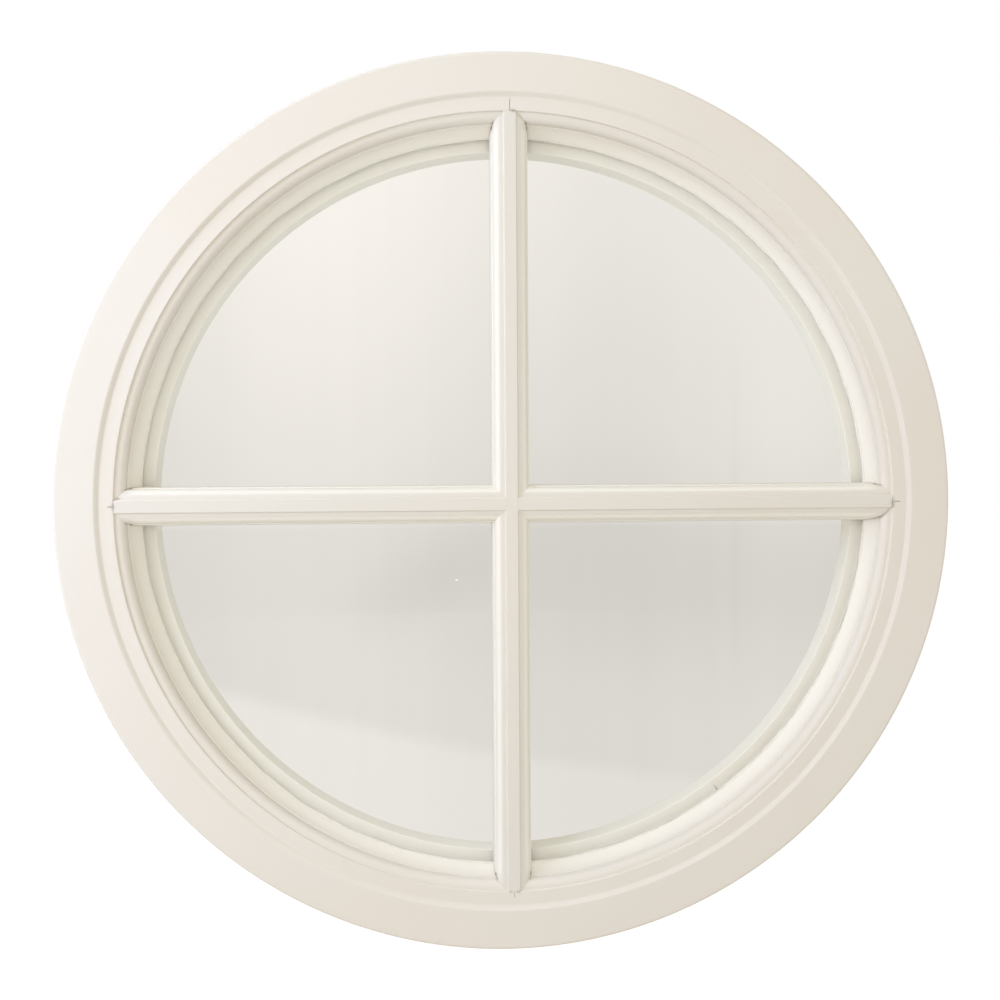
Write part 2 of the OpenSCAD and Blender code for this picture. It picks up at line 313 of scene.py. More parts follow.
class Surface:
    """Points, faces and surface values of a piece, gathered before they go into a mesh."""

    def __init__(self):
        self.points = []
        self.maps = []
        self.grime = []
        self.faces = []
        self.count = 0

    def add_grid(self, points, along, across, grime, closed=False):
        """Adds a grid of rows by columns; along and across are its UV in metres, and the last value is its
        dirt and painted shade.
        """
        rows, columns = points.shape[:2]
        self.faces += list(grid_quads(rows, columns, self.count, closed))
        self.points.append(points.reshape(-1, 3))
        self.maps.append(np.stack([along, across], -1).reshape(-1, 2))
        self.grime.append(np.broadcast_to(grime, (rows, columns)).reshape(-1))
        self.count += rows * columns
        return self.count - rows * columns

    def piece(self, name, material, slot, node, sharp=math.radians(35)):
        """Makes the object, closes its seams, turns its faces outwards and ties it to the frame."""
        mesh = bpy.data.meshes.new(name)
        corners = np.concatenate(self.faces).astype(np.int32)
        totals = np.array([len(face) for face in self.faces], np.int32)
        starts = np.concatenate([[0], np.cumsum(totals)[:-1]]).astype(np.int32)
        mesh.vertices.add(self.count)
        mesh.vertices.foreach_set("co", np.vstack(self.points).astype(np.float32).ravel())
        mesh.loops.add(len(corners))
        mesh.loops.foreach_set("vertex_index", corners)
        mesh.polygons.add(len(totals))
        mesh.polygons.foreach_set("loop_start", starts)
        mesh.polygons.foreach_set("use_smooth", np.ones(len(totals), bool))
        mesh.update(calc_edges=True)
        layer = mesh.uv_layers.new(name="run")
        layer.data.foreach_set("uv", np.vstack(self.maps)[corners].astype(np.float32).ravel())
        # Per-point dirt and painted shade: darker in the moulding's creases and at the bars' copes
        dirt_and_shade = mesh.attributes.new("grime", "FLOAT", "POINT")
        dirt_and_shade.data.foreach_set("value", np.concatenate(self.grime).astype(np.float32))
        work = bmesh.new()
        work.from_mesh(mesh)
        bmesh.ops.remove_doubles(work, verts=work.verts, dist=0.001 * MM)
        bmesh.ops.recalc_face_normals(work, faces=work.faces)
        work.to_mesh(mesh)
        work.free()
        if not mesh.polygons:
            raise RuntimeError(name + " has no faces")
        mesh.set_sharp_from_angle(angle=sharp)
        mesh.materials.append(material)
        piece = bpy.data.objects.new(name, mesh)
        bpy.context.scene.collection.objects.link(piece)
        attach(piece, BODY)
        if node:
            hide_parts(node)
        return piece


def round_axis(radius, y, angle):
    """Point at a radius and depth: (radius cos angle, y, -radius sin angle), clockwise seen from outside."""
    return np.stack([radius * np.cos(angle), y + 0 * angle, -radius * np.sin(angle)], -1)


def end_rows(size, spacing, reach, steps):
    """Shares of a size from 0 to 1: closely spaced within reach of both ends, and even steps between."""
    near = np.arange(0, reach, spacing) / size
    return np.concatenate([near, np.linspace(near[-1], 1 - near[-1], steps)[1:-1], 1 - near[::-1]])


def swept_ring(outline, marks, start, sweep, share, pull=None):
    """Outline of radius and depth carried round the axis from start through shares of sweep, with flat ends.

    pull, a distance for each outline point, draws both end rows back along the ring to open a joint.
    """
    radius = outline[None, :, 0]
    angle = start + sweep * share[:, None] + 0 * radius
    if pull is not None:
        angle[0] += pull[0] / outline[:, 0]
        angle[-1] -= pull[1] / outline[:, 0]
    points = round_axis(radius + 0 * angle, outline[None, :, 1] + 0 * angle, angle)
    surface = Surface()
    columns = len(outline)
    across = run_lengths(outline)[None, :] + 0 * angle
    first = surface.add_grid(points, angle * radius.mean(), across, marks, closed=True)
    surface.faces.append(first + np.arange(columns)[::-1])
    surface.faces.append(first + (len(share) - 1) * columns + np.arange(columns))
    return surface


def moulding_corners(top, ovolo, depth, foot):
    """Corners, radii, and marks of dirt and painted shade, of half the moulding, from its flat top to its
    toe at zero height.
    """
    m = moulding_sizes()
    ledge = top + m.quirk_width + ovolo
    quirk_height = depth - m.quirk_drop
    ledge_height = quirk_height - ovolo - m.ovolo_drop
    slope = ledge + m.ledge_width
    corners = [
        (top, depth),
        (top, quirk_height),
        (ledge, quirk_height),
        (ledge, ledge_height),
        (slope, ledge_height),
        (slope + foot, m.toe_height),
        (slope + foot, 0),
    ]
    radii = [m.nose_round, m.paint_round, ovolo * 0.999, 0.5 * MM, m.paint_round, 0.1 * MM, 0.05 * MM]
    # Dirt and painted shade in the crease at the quirk's foot and in the crease under the ovolo's drop
    marks = [0, 0.15, 0, 0.1, 0, 0, 0]
    return corners, radii, marks


def bead_outline():
    """Closed outline of the bead in radius and depth."""
    m = moulding_sizes()
    depth = BEAD_BACK_Y - FILLET_Y
    corners, radii, marks = moulding_corners(m.fillet_width, m.ovolo_radius, depth, m.chamfer_width)
    placed = [(m.bead_radius - x, BEAD_BACK_Y - h) for x, h in corners]
    ramp_foot = m.bead_radius - (FILLET_Y - JOINT_Y) * m.joint_slope
    outer = [(m.bead_radius, BEAD_BACK_Y), (m.bead_radius, JOINT_Y), (ramp_foot, FILLET_Y)]
    return softened(placed + outer, radii + [0.3 * MM, 0.02 * MM, 1.5 * MM], marks + [0, 0, 0])


def felloe_outline():
    """Closed outline of the frame in radius and depth: rim, casing face, rebate and lip."""
    r = ring_sizes()
    rebate = r.rim_radius - r.casing_width
    corners = [
        (r.rim_radius, FACE_Y),
        (r.rim_radius, BACK_Y),
        (r.lip_radius, BACK_Y),
        (r.lip_radius, LIP_Y),
        (rebate, LIP_Y),
        (rebate, JOINT_Y),
        (rebate + (JOINT_Y - FACE_Y) * moulding_sizes().joint_slope, FACE_Y),
    ]
    radii = [r.rim_round, r.rim_round, r.lip_round, 0.5 * MM, 0.3 * MM, 0.02 * MM, 2 * MM]
    return softened(corners, radii, [0] * len(corners))


def bead_reach(y):
    """Radius of the bead's moulded face a hair below a depth, less the cope's clearance.

    The hair keeps the flats of a bar's end off the bead's own flats at the same level.
    """
    outline, _ = bead_outline()
    face = outline[: np.argmax(outline[:, 1] >= BEAD_BACK_Y - BASE_EDGE) + 1]
    return np.interp(y + SEAL, rising(face[:, 1]), face[:, 0]) - moulding_sizes().cope_gap


def cope_opening(x, spots):
    """Clearance added along a coped end: sum of depth * exp(-((x - place) / spread) ** 2) over its spots."""
    place, depth, spread = np.array(spots).T * MM
    return np.sum(depth * np.exp(-(((x[..., None] - place) / spread) ** 2)), axis=-1)


def coped_end(spots, sign):
    """End surface of a bar coped over the bead; sign is 1 for its far end and -1 for its near end."""

    def end(x, y):
        return sign * (np.sqrt(bead_reach(y) ** 2 - x ** 2) - cope_opening(x, spots))

    return end


def bar_half(depth):
    """Half outline of a bar from its nose to its foot, as half width and height, with dirt marks."""
    m = moulding_sizes()
    corners, radii, marks = moulding_corners(m.nose_width / 2, m.bar_ovolo_radius, depth, m.foot_width)
    base = [(0, 0), (0, depth)]
    rounded = softened(corners + base, radii + [0.05 * MM, 0.05 * MM], marks + [0, 0])
    points, weights = filled(*rounded, 0.4 * MM)
    keep = np.argmax(points[:, 1] <= BASE_EDGE) + 1
    points = points[:keep]
    across = np.linspace(0, points[0, 0], 10)[:-1]
    top = np.stack([across, depth + 0 * across], -1)
    foot = np.array([[points[-1, 0], 0]])
    return np.vstack([top, points, foot]), np.concatenate([0 * across, weights[:keep], [0]])


def half_width(y, nose_y, base_y):
    """Half width of a bar at a depth, for the bar whose nose and base are given."""
    half, _ = bar_half(abs(base_y - nose_y))
    height = (base_y - y) if base_y > nose_y else (y - base_y)
    order = half[::-1]
    return np.interp(height, rising(order[:, 1]), order[:, 0])


def scribed_end(nose_y, base_y):
    """Near end of a side bar, scribed to the upright bar: z is the upright's half width plus the gap."""
    gap = moulding_sizes().cross_gap
    deeper = gap if base_y > nose_y else -gap

    def end(x, y):
        return half_width(y + deeper, nose_y, base_y) + gap + 0 * x

    return end


def gathered(opening):
    """Strength of the dirt and painted shade where a cope is open: opening / 0.5 mm, held between 0.12 and
    1.8.
    """
    return np.clip(opening / (0.5 * MM), 0.12, 1.8)


def bar_surface(nose_y, base_y, near, far, spots=(TIGHT, TIGHT)):
    """Bar along +Z, whose ends near and far give z for a place across the bar and a depth.

    The side grid is z = near + (far - near) * s. The ends are grids across the bar at each depth, on the
    same near and far surfaces, so a coped end fits what it is coped to. Dirt and painted shade lie at the
    ends.
    """
    half, weights = bar_half(abs(base_y - nose_y))
    sign = 1 if base_y > nose_y else -1
    x = np.concatenate([-half[:0:-1, 0], half[:, 0]])
    y = base_y - sign * np.concatenate([half[:0:-1, 1], half[:, 1]])
    marks = np.concatenate([weights[:0:-1], weights])
    low = near(x, y)[None, :]
    high = far(x, y)[None, :]
    share = end_rows((high - low).max(), spacing=0.3 * MM, reach=4 * MM, steps=60)
    z = low + (high - low) * share[:, None]
    # Dirt and painted shade fade from each end, stronger where its cope stands open
    near_mark = np.exp(-(z - low) / BAR_DIRT_AND_SHADE) * gathered(cope_opening(x, spots[0]))
    far_mark = np.exp(-(high - z) / BAR_DIRT_AND_SHADE) * gathered(cope_opening(x, spots[1]))
    end_mark = np.maximum(near_mark, far_mark)
    surface = Surface()
    outline = np.stack([x, y], -1)
    across = run_lengths(outline)[None, :] + 0 * z
    points = np.stack([x[None, :] + 0 * z, y[None, :] + 0 * z, z], -1)
    surface.add_grid(points, z, across, np.maximum(marks[None, :], end_mark))
    spread = np.linspace(-1, 1, 25)[None, :]
    half_x = half[:, :1] * spread
    half_y = (base_y - sign * half[:, 1:]) + 0 * spread
    for end in (near, far):
        cap = np.stack([half_x, half_y, end(half_x, half_y)], -1)
        # The end faces, in the gap of the cope, carry full dirt and painted shade
        surface.add_grid(cap, half_x, half_y, 1.2)
    foot = half[-1, 0] * np.stack([-np.ones(len(share)), np.ones(len(share))], -1)
    foot_z = np.stack([z[:, 0], z[:, -1]], -1)
    base = np.stack([foot, base_y + 0 * foot, foot_z], -1)
    surface.add_grid(base, foot_z, foot, 0)
    return surface


def turned(surface, degrees):
    """Turns a surface about the window's axis: (x, y, z) to (x cos + z sin, y, z cos - x sin)."""
    angle = math.radians(degrees)
    spin = np.array(Matrix.Rotation(angle, 3, "Y"))
    surface.points = [points @ spin.T for points in surface.points]
    return surface


def feed(tree, node, inputs):
    """Feeds a node's inputs, each by its name or number: links a socket, and sets any other value."""
    for key, value in inputs.items():
        if isinstance(value, bpy.types.NodeSocket):
            tree.links.new(value, node.inputs[key])
        else:
            node.inputs[key].default_value = value


def add(tree, kind, inputs=None, **attributes):
    """Adds a shader node, sets its attributes and feeds its inputs."""
    node = tree.nodes.new("ShaderNode" + kind)
    for key, value in attributes.items():
        setattr(node, key, value)
    feed(tree, node, inputs or {})
    return node


def value_math(tree, operation, a, b):
    """Math node on two values, each a socket or a number."""
    return add(tree, "Math", {0: a, 1: b}, operation=operation).outputs[0]


def ramp(tree, value, low, high, start=0.0, end=1.0, way="LINEAR"):
    """Map Range node from low..high to start..end, clamped."""
    inputs = {"Value": value, "From Min": low, "From Max": high, "To Min": start, "To Max": end}
    return add(tree, "MapRange", inputs, clamp=True, interpolation_type=way).outputs["Result"]


def noise(tree, vector, scale, detail=3.0, roughness=0.55):
    """Noise texture on a vector, as a value from 0 to 1."""
    inputs = {"Vector": vector, "Scale": scale, "Detail": detail, "Roughness": roughness}
    return add(tree, "TexNoise", inputs).outputs["Fac"]


def stretched(tree, vector, scale):
    """Vector stretched by a factor on each axis."""
    return add(tree, "Mapping", {"Vector": vector, "Scale": scale}).outputs["Vector"]


def mix_colours(tree, factor, a, b):
    """Colour between a and b by factor; a and b are colour sockets."""
    node = add(tree, "Mix", data_type="RGBA")
    sockets = {socket.identifier: socket for socket in (*node.inputs, *node.outputs)}
    tree.links.new(factor, sockets["Factor_Float"])
    tree.links.new(a, sockets["A_Color"])
    tree.links.new(b, sockets["B_Color"])
    return sockets["Result_Color"]


def rgba(value):
    return (*value, 1.0)


def flat_colour(tree, value):
    """Colour socket with one colour, from a grey level or from red, green and blue."""
    node = add(tree, "RGB")
    node.outputs[0].default_value = rgba(value) if hasattr(value, "__len__") else (value, value, value, 1.0)
    return node.outputs[0]


def bump(tree, height, strength, distance):
    """Normal socket with a bump from a height socket."""
    inputs = {"Strength": strength, "Distance": distance, "Height": height}
    return add(tree, "Bump", inputs).outputs["Normal"]


def brushed_paint_group():
    """Brushed paint: strokes along the piece's run, slow yellowing, and dirt and painted shade in the
    creases.

    Strokes are noise stretched along U. Dirt and painted shade come from the piece's crease attribute,
    broken up by noise.
    """
    name = "Brushed paint"
    if name in bpy.data.node_groups:
        return bpy.data.node_groups[name]
    sockets = {
        "INPUT": {"Paint": "Color", "Aged": "Color", "Grime": "Color", "Dirt": "Float"},
        "OUTPUT": {"Color": "Color", "Roughness": "Float", "Height": "Float"},
    }
    group = bpy.data.node_groups.new(name, "ShaderNodeTree")
    for way, kinds in sockets.items():
        for label, kind in kinds.items():
            group.interface.new_socket(name=label, in_out=way, socket_type="NodeSocket" + kind)
    source = group.nodes.new("NodeGroupInput")
    sink = group.nodes.new("NodeGroupOutput")
    place = add(group, "TexCoord")
    strokes = noise(group, stretched(group, place.outputs["UV"], (9, 900, 1)), 1.0, 4.0)
    drag = noise(group, stretched(group, place.outputs["UV"], (30, 260, 1)), 1.0, 2.0)
    slow = noise(group, place.outputs["Object"], 5.0, 2.0)
    fine = noise(group, place.outputs["Object"], 420.0, 3.0)
    ageing = ramp(group, slow, 0.38, 0.72, 0.0, 0.55)
    base = mix_colours(group, ageing, source.outputs["Paint"], source.outputs["Aged"])
    # Crease marks darken the paint: dirt, and painted shade in the creases and at the copes
    mark = add(group, "Attribute", attribute_name="grime")
    broken = ramp(group, noise(group, place.outputs["Object"], 60.0, 4.0), 0.3, 0.7, 0.35, 1.0)
    patchy = value_math(group, "MULTIPLY", mark.outputs["Fac"], broken)
    dirt_and_shade = value_math(group, "MULTIPLY", patchy, source.outputs["Dirt"])
    shaded = mix_colours(group, dirt_and_shade, base, source.outputs["Grime"])
    coarse_part = value_math(group, "MULTIPLY", strokes, 0.7)
    fine_part = value_math(group, "MULTIPLY", fine, 0.3)
    height = value_math(group, "ADD", coarse_part, fine_part)
    roughness = ramp(group, drag, 0.3, 0.7, 0.34, 0.5)
    feed(group, sink, {"Color": shaded, "Roughness": roughness, "Height": height})
    return group


def new_material(name):
    """Material with its Principled shader, and its node tree."""
    material = bpy.data.materials.new(name)
    material.use_nodes = True
    tree = material.node_tree
    return material, tree, tree.nodes["Principled BSDF"]


def paint_material(name, tint, dirt_and_shade):
    """Cream satin paint, brushed on; the last value says how much of the crease dirt and painted shade
    shows.
    """
    if name in bpy.data.materials:
        return bpy.data.materials[name]
    colours = finish_colours()
    material, tree, shader = new_material(name)
    aged = rgba(colours.paint_aged)
    inputs = {"Paint": rgba(tint), "Aged": aged, "Grime": rgba(colours.grime), "Dirt": dirt_and_shade}
    paint = add(tree, "Group", inputs, node_tree=brushed_paint_group())
    strokes = bump(tree, paint.outputs["Height"], strength=0.25, distance=0.12 * MM)
    roughness = paint.outputs["Roughness"]
    feed(tree, shader, {"Base Color": paint.outputs["Color"], "Roughness": roughness, "Normal": strokes})
    return material


def glass_material():
    """Clear float glass with a faint tint. Light passes straight through it on to the timber behind."""
    tint = rgba(finish_colours().glass)
    material, tree, shader = new_material("float_glass")
    feed(tree, shader, {"Base Color": tint, "Transmission Weight": 1.0, "IOR": 1.5, "Roughness": 0.0})
    path = add(tree, "LightPath")
    clear = add(tree, "BsdfTransparent", {"Color": tint})
    lighting = value_math(tree, "MAXIMUM", path.outputs["Is Shadow Ray"], path.outputs["Is Diffuse Ray"])
    blend = add(tree, "MixShader", {0: lighting, 1: shader.outputs["BSDF"], 2: clear.outputs["BSDF"]})
    tree.links.new(blend.outputs["Shader"], tree.nodes["Material Output"].inputs["Surface"])
    return material


def plain_material(name, tint, roughness, metallic, scale, stretch, depth):
    """Fixing or filler: a colour broken up by noise, with a bump; stretch draws noise out into grain."""
    material, tree, shader = new_material(name)
    place = add(tree, "TexCoord")
    grain = noise(tree, stretched(tree, place.outputs["Object"], stretch), scale, 4.0)
    dark = flat_colour(tree, [channel * 0.72 for channel in tint])
    mottled = mix_colours(tree, grain, dark, flat_colour(tree, tint))
    worn = ramp(tree, grain, 0.2, 0.8, roughness - 0.08, roughness + 0.08)
    relief = bump(tree, grain, strength=0.4, distance=depth)
    feed(tree, shader, {"Base Color": mottled, "Roughness": worn, "Metallic": metallic, "Normal": relief})
    return material


class WINDOW_OT_felloes(bpy.types.Operator):
    """Make the four painted felloes of the frame"""

    bl_idname = "round_window.felloes"
    bl_label = "Frame felloes"

    def execute(self, context):
        r = ring_sizes()
        outline, marks = filled(*felloe_outline(), 1.5 * MM)
        paint = paint_material("ring_cream", finish_colours().paint, 0.5)
        turn = r.felloe_gap / r.rim_radius / 2
        share = np.linspace(0, 1, FELLOE_ROWS)
        crack = self.crack(outline[:, 0], outline[:, 1])
        closed = 0 * crack
        for index, node in enumerate(FELLOES):
            start = r.felloe_angle + index * QUARTER + turn
            pull = (crack if index == 0 else closed, crack if index == len(FELLOES) - 1 else closed)
            surface = swept_ring(outline, marks, start, QUARTER - 2 * turn, share, pull)
            surface.piece("painted_" + node, paint, "frame_paint", node)
        return {"FINISHED"}

    def crack(self, radius, y):
        """Half the crack's width: crack_width / 2 times two factors, held between 0 and 1, behind the glass.

        They are (radius - lip_radius - CRACK_START) / CRACK_RUN and (LIP_Y + CRACK_DEPTH - y) / CRACK_FADE.
        """
        r = ring_sizes()
        in_lip = np.clip((radius - r.lip_radius - CRACK_START) / CRACK_RUN, 0, 1)
        on_face = np.clip((LIP_Y + CRACK_DEPTH - y) / CRACK_FADE, 0, 1)
        return r.crack_width / 2 * in_lip * on_face * (y > GLASS_BACK_Y)


class WINDOW_OT_beads(bpy.types.Operator):
    """Make the four moulded quarters of the glazing bead"""

    bl_idname = "round_window.beads"
    bl_label = "Glazing bead"

    def execute(self, context):
        m = moulding_sizes()
        outline, marks = filled(*bead_outline(), 0.6 * MM)
        paint = paint_material("bead_cream", finish_colours().paint, 0.55)
        turn = m.bead_gap / m.bead_radius / 2
        openings = [self.opening(outline[:, 0], *(value * MM for value in joint)) for joint in BEAD_JOINTS]
        arc = QUARTER * outline[:, 0]
        share = end_rows(arc.mean(), spacing=0.4 * MM, reach=16 * MM, steps=220)
        along = share[:, None] * arc
        for index, node in enumerate(BEADS):
            after = (index + 1) % len(BEADS)
            pull = (openings[index], openings[after])
            # Dirt and painted shade along the copes of the bars' ends, on top of the creases' own
            near = self.dirt_and_shade(along, outline[:, 0], BEAD_ENDS[index])
            far = self.dirt_and_shade(along - arc, outline[:, 0], BEAD_ENDS[after])
            dirty_and_shaded = np.maximum(marks, near + far)
            surface = swept_ring(outline, dirty_and_shaded, index * QUARTER + turn, QUARTER - 2 * turn, share, pull)
            surface.piece("moulded_" + node, paint, "bead_paint", node)
        return {"FINISHED"}

    def dirt_and_shade(self, along, radius, end):
        """Dirt and painted shade along the cope of a bar's end: gathered(opening) * exp(-((radius - meets) /
        spread) ** 2), spread being how far they reach on the bead.

        meets is the radius where the bar's outline, at the place across the bar, comes down on the bead.
        """
        side, sign = end
        half, _ = bar_half(BAR_BASE_Y - BAR_NOSE_Y)
        place = sign * along
        height = np.interp(abs(place), rising(half[:, 0]), half[:, 1])
        meets = bead_reach(BAR_BASE_Y - height)
        strength = gathered(cope_opening(place, COPE_SPOTS[side])) * (abs(place) < half[-1, 0])
        return strength * np.exp(-(((radius - meets) / BEAD_DIRT_AND_SHADE) ** 2))

    def opening(self, radius, inner, outer, width):
        """How far a joint's ends are drawn back: half its width, closing over JOINT_FADE at two radii."""
        return width / 2 * np.clip(np.minimum(radius - inner, outer - radius) / JOINT_FADE + 1, 0, 1)


class WINDOW_OT_front_bars(bpy.types.Operator):
    """Make the outer glazing bars, coped over the bead and scribed to each other"""

    bl_idname = "round_window.front_bars"
    bl_label = "Outer bars"

    def execute(self, context):
        paint = paint_material("bar_cream", finish_colours().bar_paint, 0.55)
        foot = coped_end(COPE_SPOTS["bottom"], -1)
        head = coped_end(COPE_SPOTS["top"], 1)
        at_cross = scribed_end(BAR_NOSE_Y, BAR_BASE_Y)
        spots = (COPE_SPOTS["bottom"], COPE_SPOTS["top"])
        upright = bar_surface(BAR_NOSE_Y, BAR_BASE_Y, foot, head, spots)
        upright.piece("painted_bar_vertical", paint, "bar_paint", "bar_vertical")
        for side, degrees in (("right", 90), ("left", -90)):
            end = coped_end(COPE_SPOTS[side], 1)
            spots = (TIGHT, COPE_SPOTS[side])
            bar = turned(bar_surface(BAR_NOSE_Y, BAR_BASE_Y, at_cross, end, spots), degrees)
            bar.piece("painted_bar_" + side, paint, "bar_paint", "bar_" + side)
        return {"FINISHED"}


class WINDOW_OT_rear_bars(bpy.types.Operator):
    """Make the inner glazing bars, cut to the lip's wall and scribed to each other"""

    bl_idname = "round_window.rear_bars"
    bl_label = "Inner bars"

    def execute(self, context):
        reach = ring_sizes().lip_radius - moulding_sizes().cope_gap
        paint = paint_material("bar_cream", finish_colours().bar_paint, 0.55)
        at_cross = scribed_end(REAR_BAR_NOSE_Y, REAR_BAR_BASE_Y)

        def at_lip(x, y):
            return np.sqrt(reach ** 2 - x ** 2) + 0 * y

        upright = bar_surface(REAR_BAR_NOSE_Y, REAR_BAR_BASE_Y, lambda x, y: -at_lip(x, y), at_lip)
        upright.piece("painted_rear_bar_vertical", paint, "bar_paint", "rear_bar_vertical")
        for node, degrees in (("rear_bar_right", 90), ("rear_bar_left", -90)):
            side = turned(bar_surface(REAR_BAR_NOSE_Y, REAR_BAR_BASE_Y, at_cross, at_lip), degrees)
            side.piece("painted_" + node, paint, "bar_paint", node)
        return {"FINISHED"}


class WINDOW_OT_glass(bpy.types.Operator):
    """Make the round pane of glass"""

    bl_idname = "round_window.glass"
    bl_label = "Glass"

    def execute(self, context):
        chamfer = ring_sizes().glass_chamfer
        outline = np.array([
            (0, GLASS_FRONT_Y),
            (GLASS_RADIUS - chamfer, GLASS_FRONT_Y),
            (GLASS_RADIUS, GLASS_FRONT_Y + chamfer),
            (GLASS_RADIUS, GLASS_BACK_Y - chamfer),
            (GLASS_RADIUS - chamfer, GLASS_BACK_Y),
            (0, GLASS_BACK_Y),
        ])
        angle = np.linspace(0, 2 * math.pi, GLASS_ROWS)[:, None]
        radius = outline[None, :, 0] + 0 * angle
        depth = outline[None, :, 1] + 0 * angle
        surface = Surface()
        surface.add_grid(round_axis(radius, depth, angle + 0 * radius), angle + 0 * radius, radius, 0)
        surface.piece("glass_disc", glass_material(), "glass", "glass_pane", sharp=math.radians(20))
        self.make_fleck()
        return {"FINISHED"}

    def make_fleck(self):
        """Fleck of paint on the pane: half an ellipsoid on a flat base.

        Its points are (a cos u sin v, -b cos v, c sin u sin v) about its middle.
        """
        u = np.linspace(0, 2 * math.pi, 25)[:, None]
        v = np.linspace(0, QUARTER, 7)[None, :]
        wide, high, rise = FLECK_SIZE
        x = wide * np.cos(u) * np.sin(v) + FLECK_PLACE[0]
        y = GLASS_FRONT_Y - SEAL - rise * np.cos(v) + 0 * u
        z = high * np.sin(u) * np.sin(v) + FLECK_PLACE[1]
        surface = Surface()
        surface.add_grid(np.stack([x, y, z], -1), u + 0 * v, v + 0 * u, 0)
        surface.faces.append(np.arange(1, len(u)) * v.size - 1)
        paint = paint_material("ring_cream", finish_colours().paint, 0.5)
        surface.piece("paint_fleck", paint, "frame_paint", None)


class WINDOW_OT_bedding(bpy.types.Operator):
    """Make the two rings of bedding compound, tooled by hand along their inner edges"""

    bl_idname = "round_window.bedding"
    bl_label = "Bedding"

    def execute(self, context):
        r = ring_sizes()
        m = moulding_sizes()
        moulding = m.fillet_width + m.quirk_width + m.ovolo_radius + m.ledge_width + m.chamfer_width
        inner = m.bead_radius - moulding - r.bedding_show
        outer = GLASS_RADIUS - r.bedding_edge
        putty = finish_colours().bedding
        compound = plain_material("bedding_compound", putty, 0.7, 0.0, 300.0, (1, 1, 1), 0.2 * MM)
        rings = (("front_bedding", FRONT_BEDDING_Y), ("rear_bedding", REAR_BEDDING_Y))
        for number, (node, (front, back)) in enumerate(rings):
            fillet = r.bedding_fillet if number == 0 else 0
            corners = [(inner, front), (outer, front), (outer, back), (inner - fillet, back)]
            outline, _ = softened(corners, [0.15 * MM] * 4, [0] * 4, steps=4, support=0.1 * MM)
            angle = np.linspace(0, 2 * math.pi, BEDDING_ROWS)[:, None]
            inside = np.clip((inner + TOOLED_WIDTH - outline[None, :, 0]) / TOOLED_WIDTH, 0, 1)
            radius = outline[None, :, 0] + TOOLED_WAVER * self.waver(angle, number) * inside
            surface = Surface()
            depth = outline[None, :, 1] + 0 * angle
            points = round_axis(radius, depth, angle + 0 * radius)
            along = angle * outer + 0 * radius
            across = run_lengths(outline)[None, :] + 0 * angle
            surface.add_grid(points, along, across, 0, closed=True)
            surface.piece("tooled_" + node, compound, "bedding", node)
        return {"FINISHED"}

    def waver(self, angle, n):
        """Waver of ring n's edge at an angle a: sin(7 a + n) + sin(17 a + 2) + sin(41 a + 3 n)."""
        return np.sin(7 * angle + n) + np.sin(17 * angle + 2) + np.sin(41 * angle + 3 * n)


class WINDOW_OT_fixings(bpy.types.Operator):
    """Finish the dowels, pins, setting blocks and tape that the frame already holds"""

    bl_idname = "round_window.fixings"
    bl_label = "Fixings"

    def execute(self, context):
        colours = finish_colours()
        even = (1, 1, 1)
        # Nodes; name, tint, roughness, metal share, scale and stretch of the noise, depth of the bump
        finishes = {
            ("frame_dowels",): ("bare_beech", colours.beech, 0.6, 0.0, 90.0, (1, 0.15, 1), 0.1 * MM),
            ("bead_pins",): ("bright_steel", colours.steel, 0.35, 1.0, 400.0, even, 0.02 * MM),
            ("setting_blocks",): ("block_plastic", colours.block, 0.5, 0.0, 600.0, even, 0.05 * MM),
            BAR_TAPES: ("foam_tape", colours.tape, 0.8, 0.0, 900.0, even, 0.1 * MM),
        }
        for nodes, finish in finishes.items():
            material = plain_material(*finish)
            for node in nodes:
                mesh = frame["nodes"][node].data
                mesh.materials.clear()
                mesh.materials.append(material)
        return {"FINISHED"}


def by_ray(tree, camera, glossy, through, other):
    """Colour by how a ray arrives: seen directly, mirrored, through glass, or as light on the object."""
    path = add(tree, "LightPath")
    value = flat_colour(tree, other)
    for ray, level in (("Glossy", glossy), ("Transmission", through), ("Camera", camera)):
        value = mix_colours(tree, path.outputs[f"Is {ray} Ray"], value, flat_colour(tree, level))
    return value


# Painted pools of light and shade on the wall behind the panes: middle as X and Z, half width and half
# height in metres, turn in degrees, and how much brighter than the plain wall the middle is.
PAINTED_WALL_LIGHT = [
    ((-0.083, 0.346), (0.469, 0.388), 55.0, 0.291),
    ((0.263, 0.530), (0.197, 0.931), -2.3, 0.242),
    ((-0.065, -0.067), (0.099, 0.048), 24.1, -0.063),
    ((0.238, -0.068), (0.507, 0.137), -3.1, -0.116),
    ((-0.168, 0.254), (0.166, 1.100), 5.8, 0.094),
    ((0.193, -0.004), (0.007, 0.220), 0.0, -0.035),
]

# Depth of that wall behind the window's middle, its half width and its top
WALL_Y = 0.12
WALL_HALF = 0.9
WALL_TOP = 1.0

# The wall's brighter foot, painted light, lies outside a circle: its middle, and the distances between which
# it comes on. It grows from none at one X to its full lift at another.
FOOT_MIDDLE = (0.397, WALL_Y, 1.888)
FOOT_EDGE = (2.1225, 2.1425)
FOOT_FADE = (0.538, -0.505)
FOOT_LIFT = 0.18

# How the names start of the pieces that a lamp is kept to, or passes
RING_PIECES = ("painted_frame", "moulded_", "tooled_", "paint_fleck")
FRONT_BARS = ("painted_bar",)

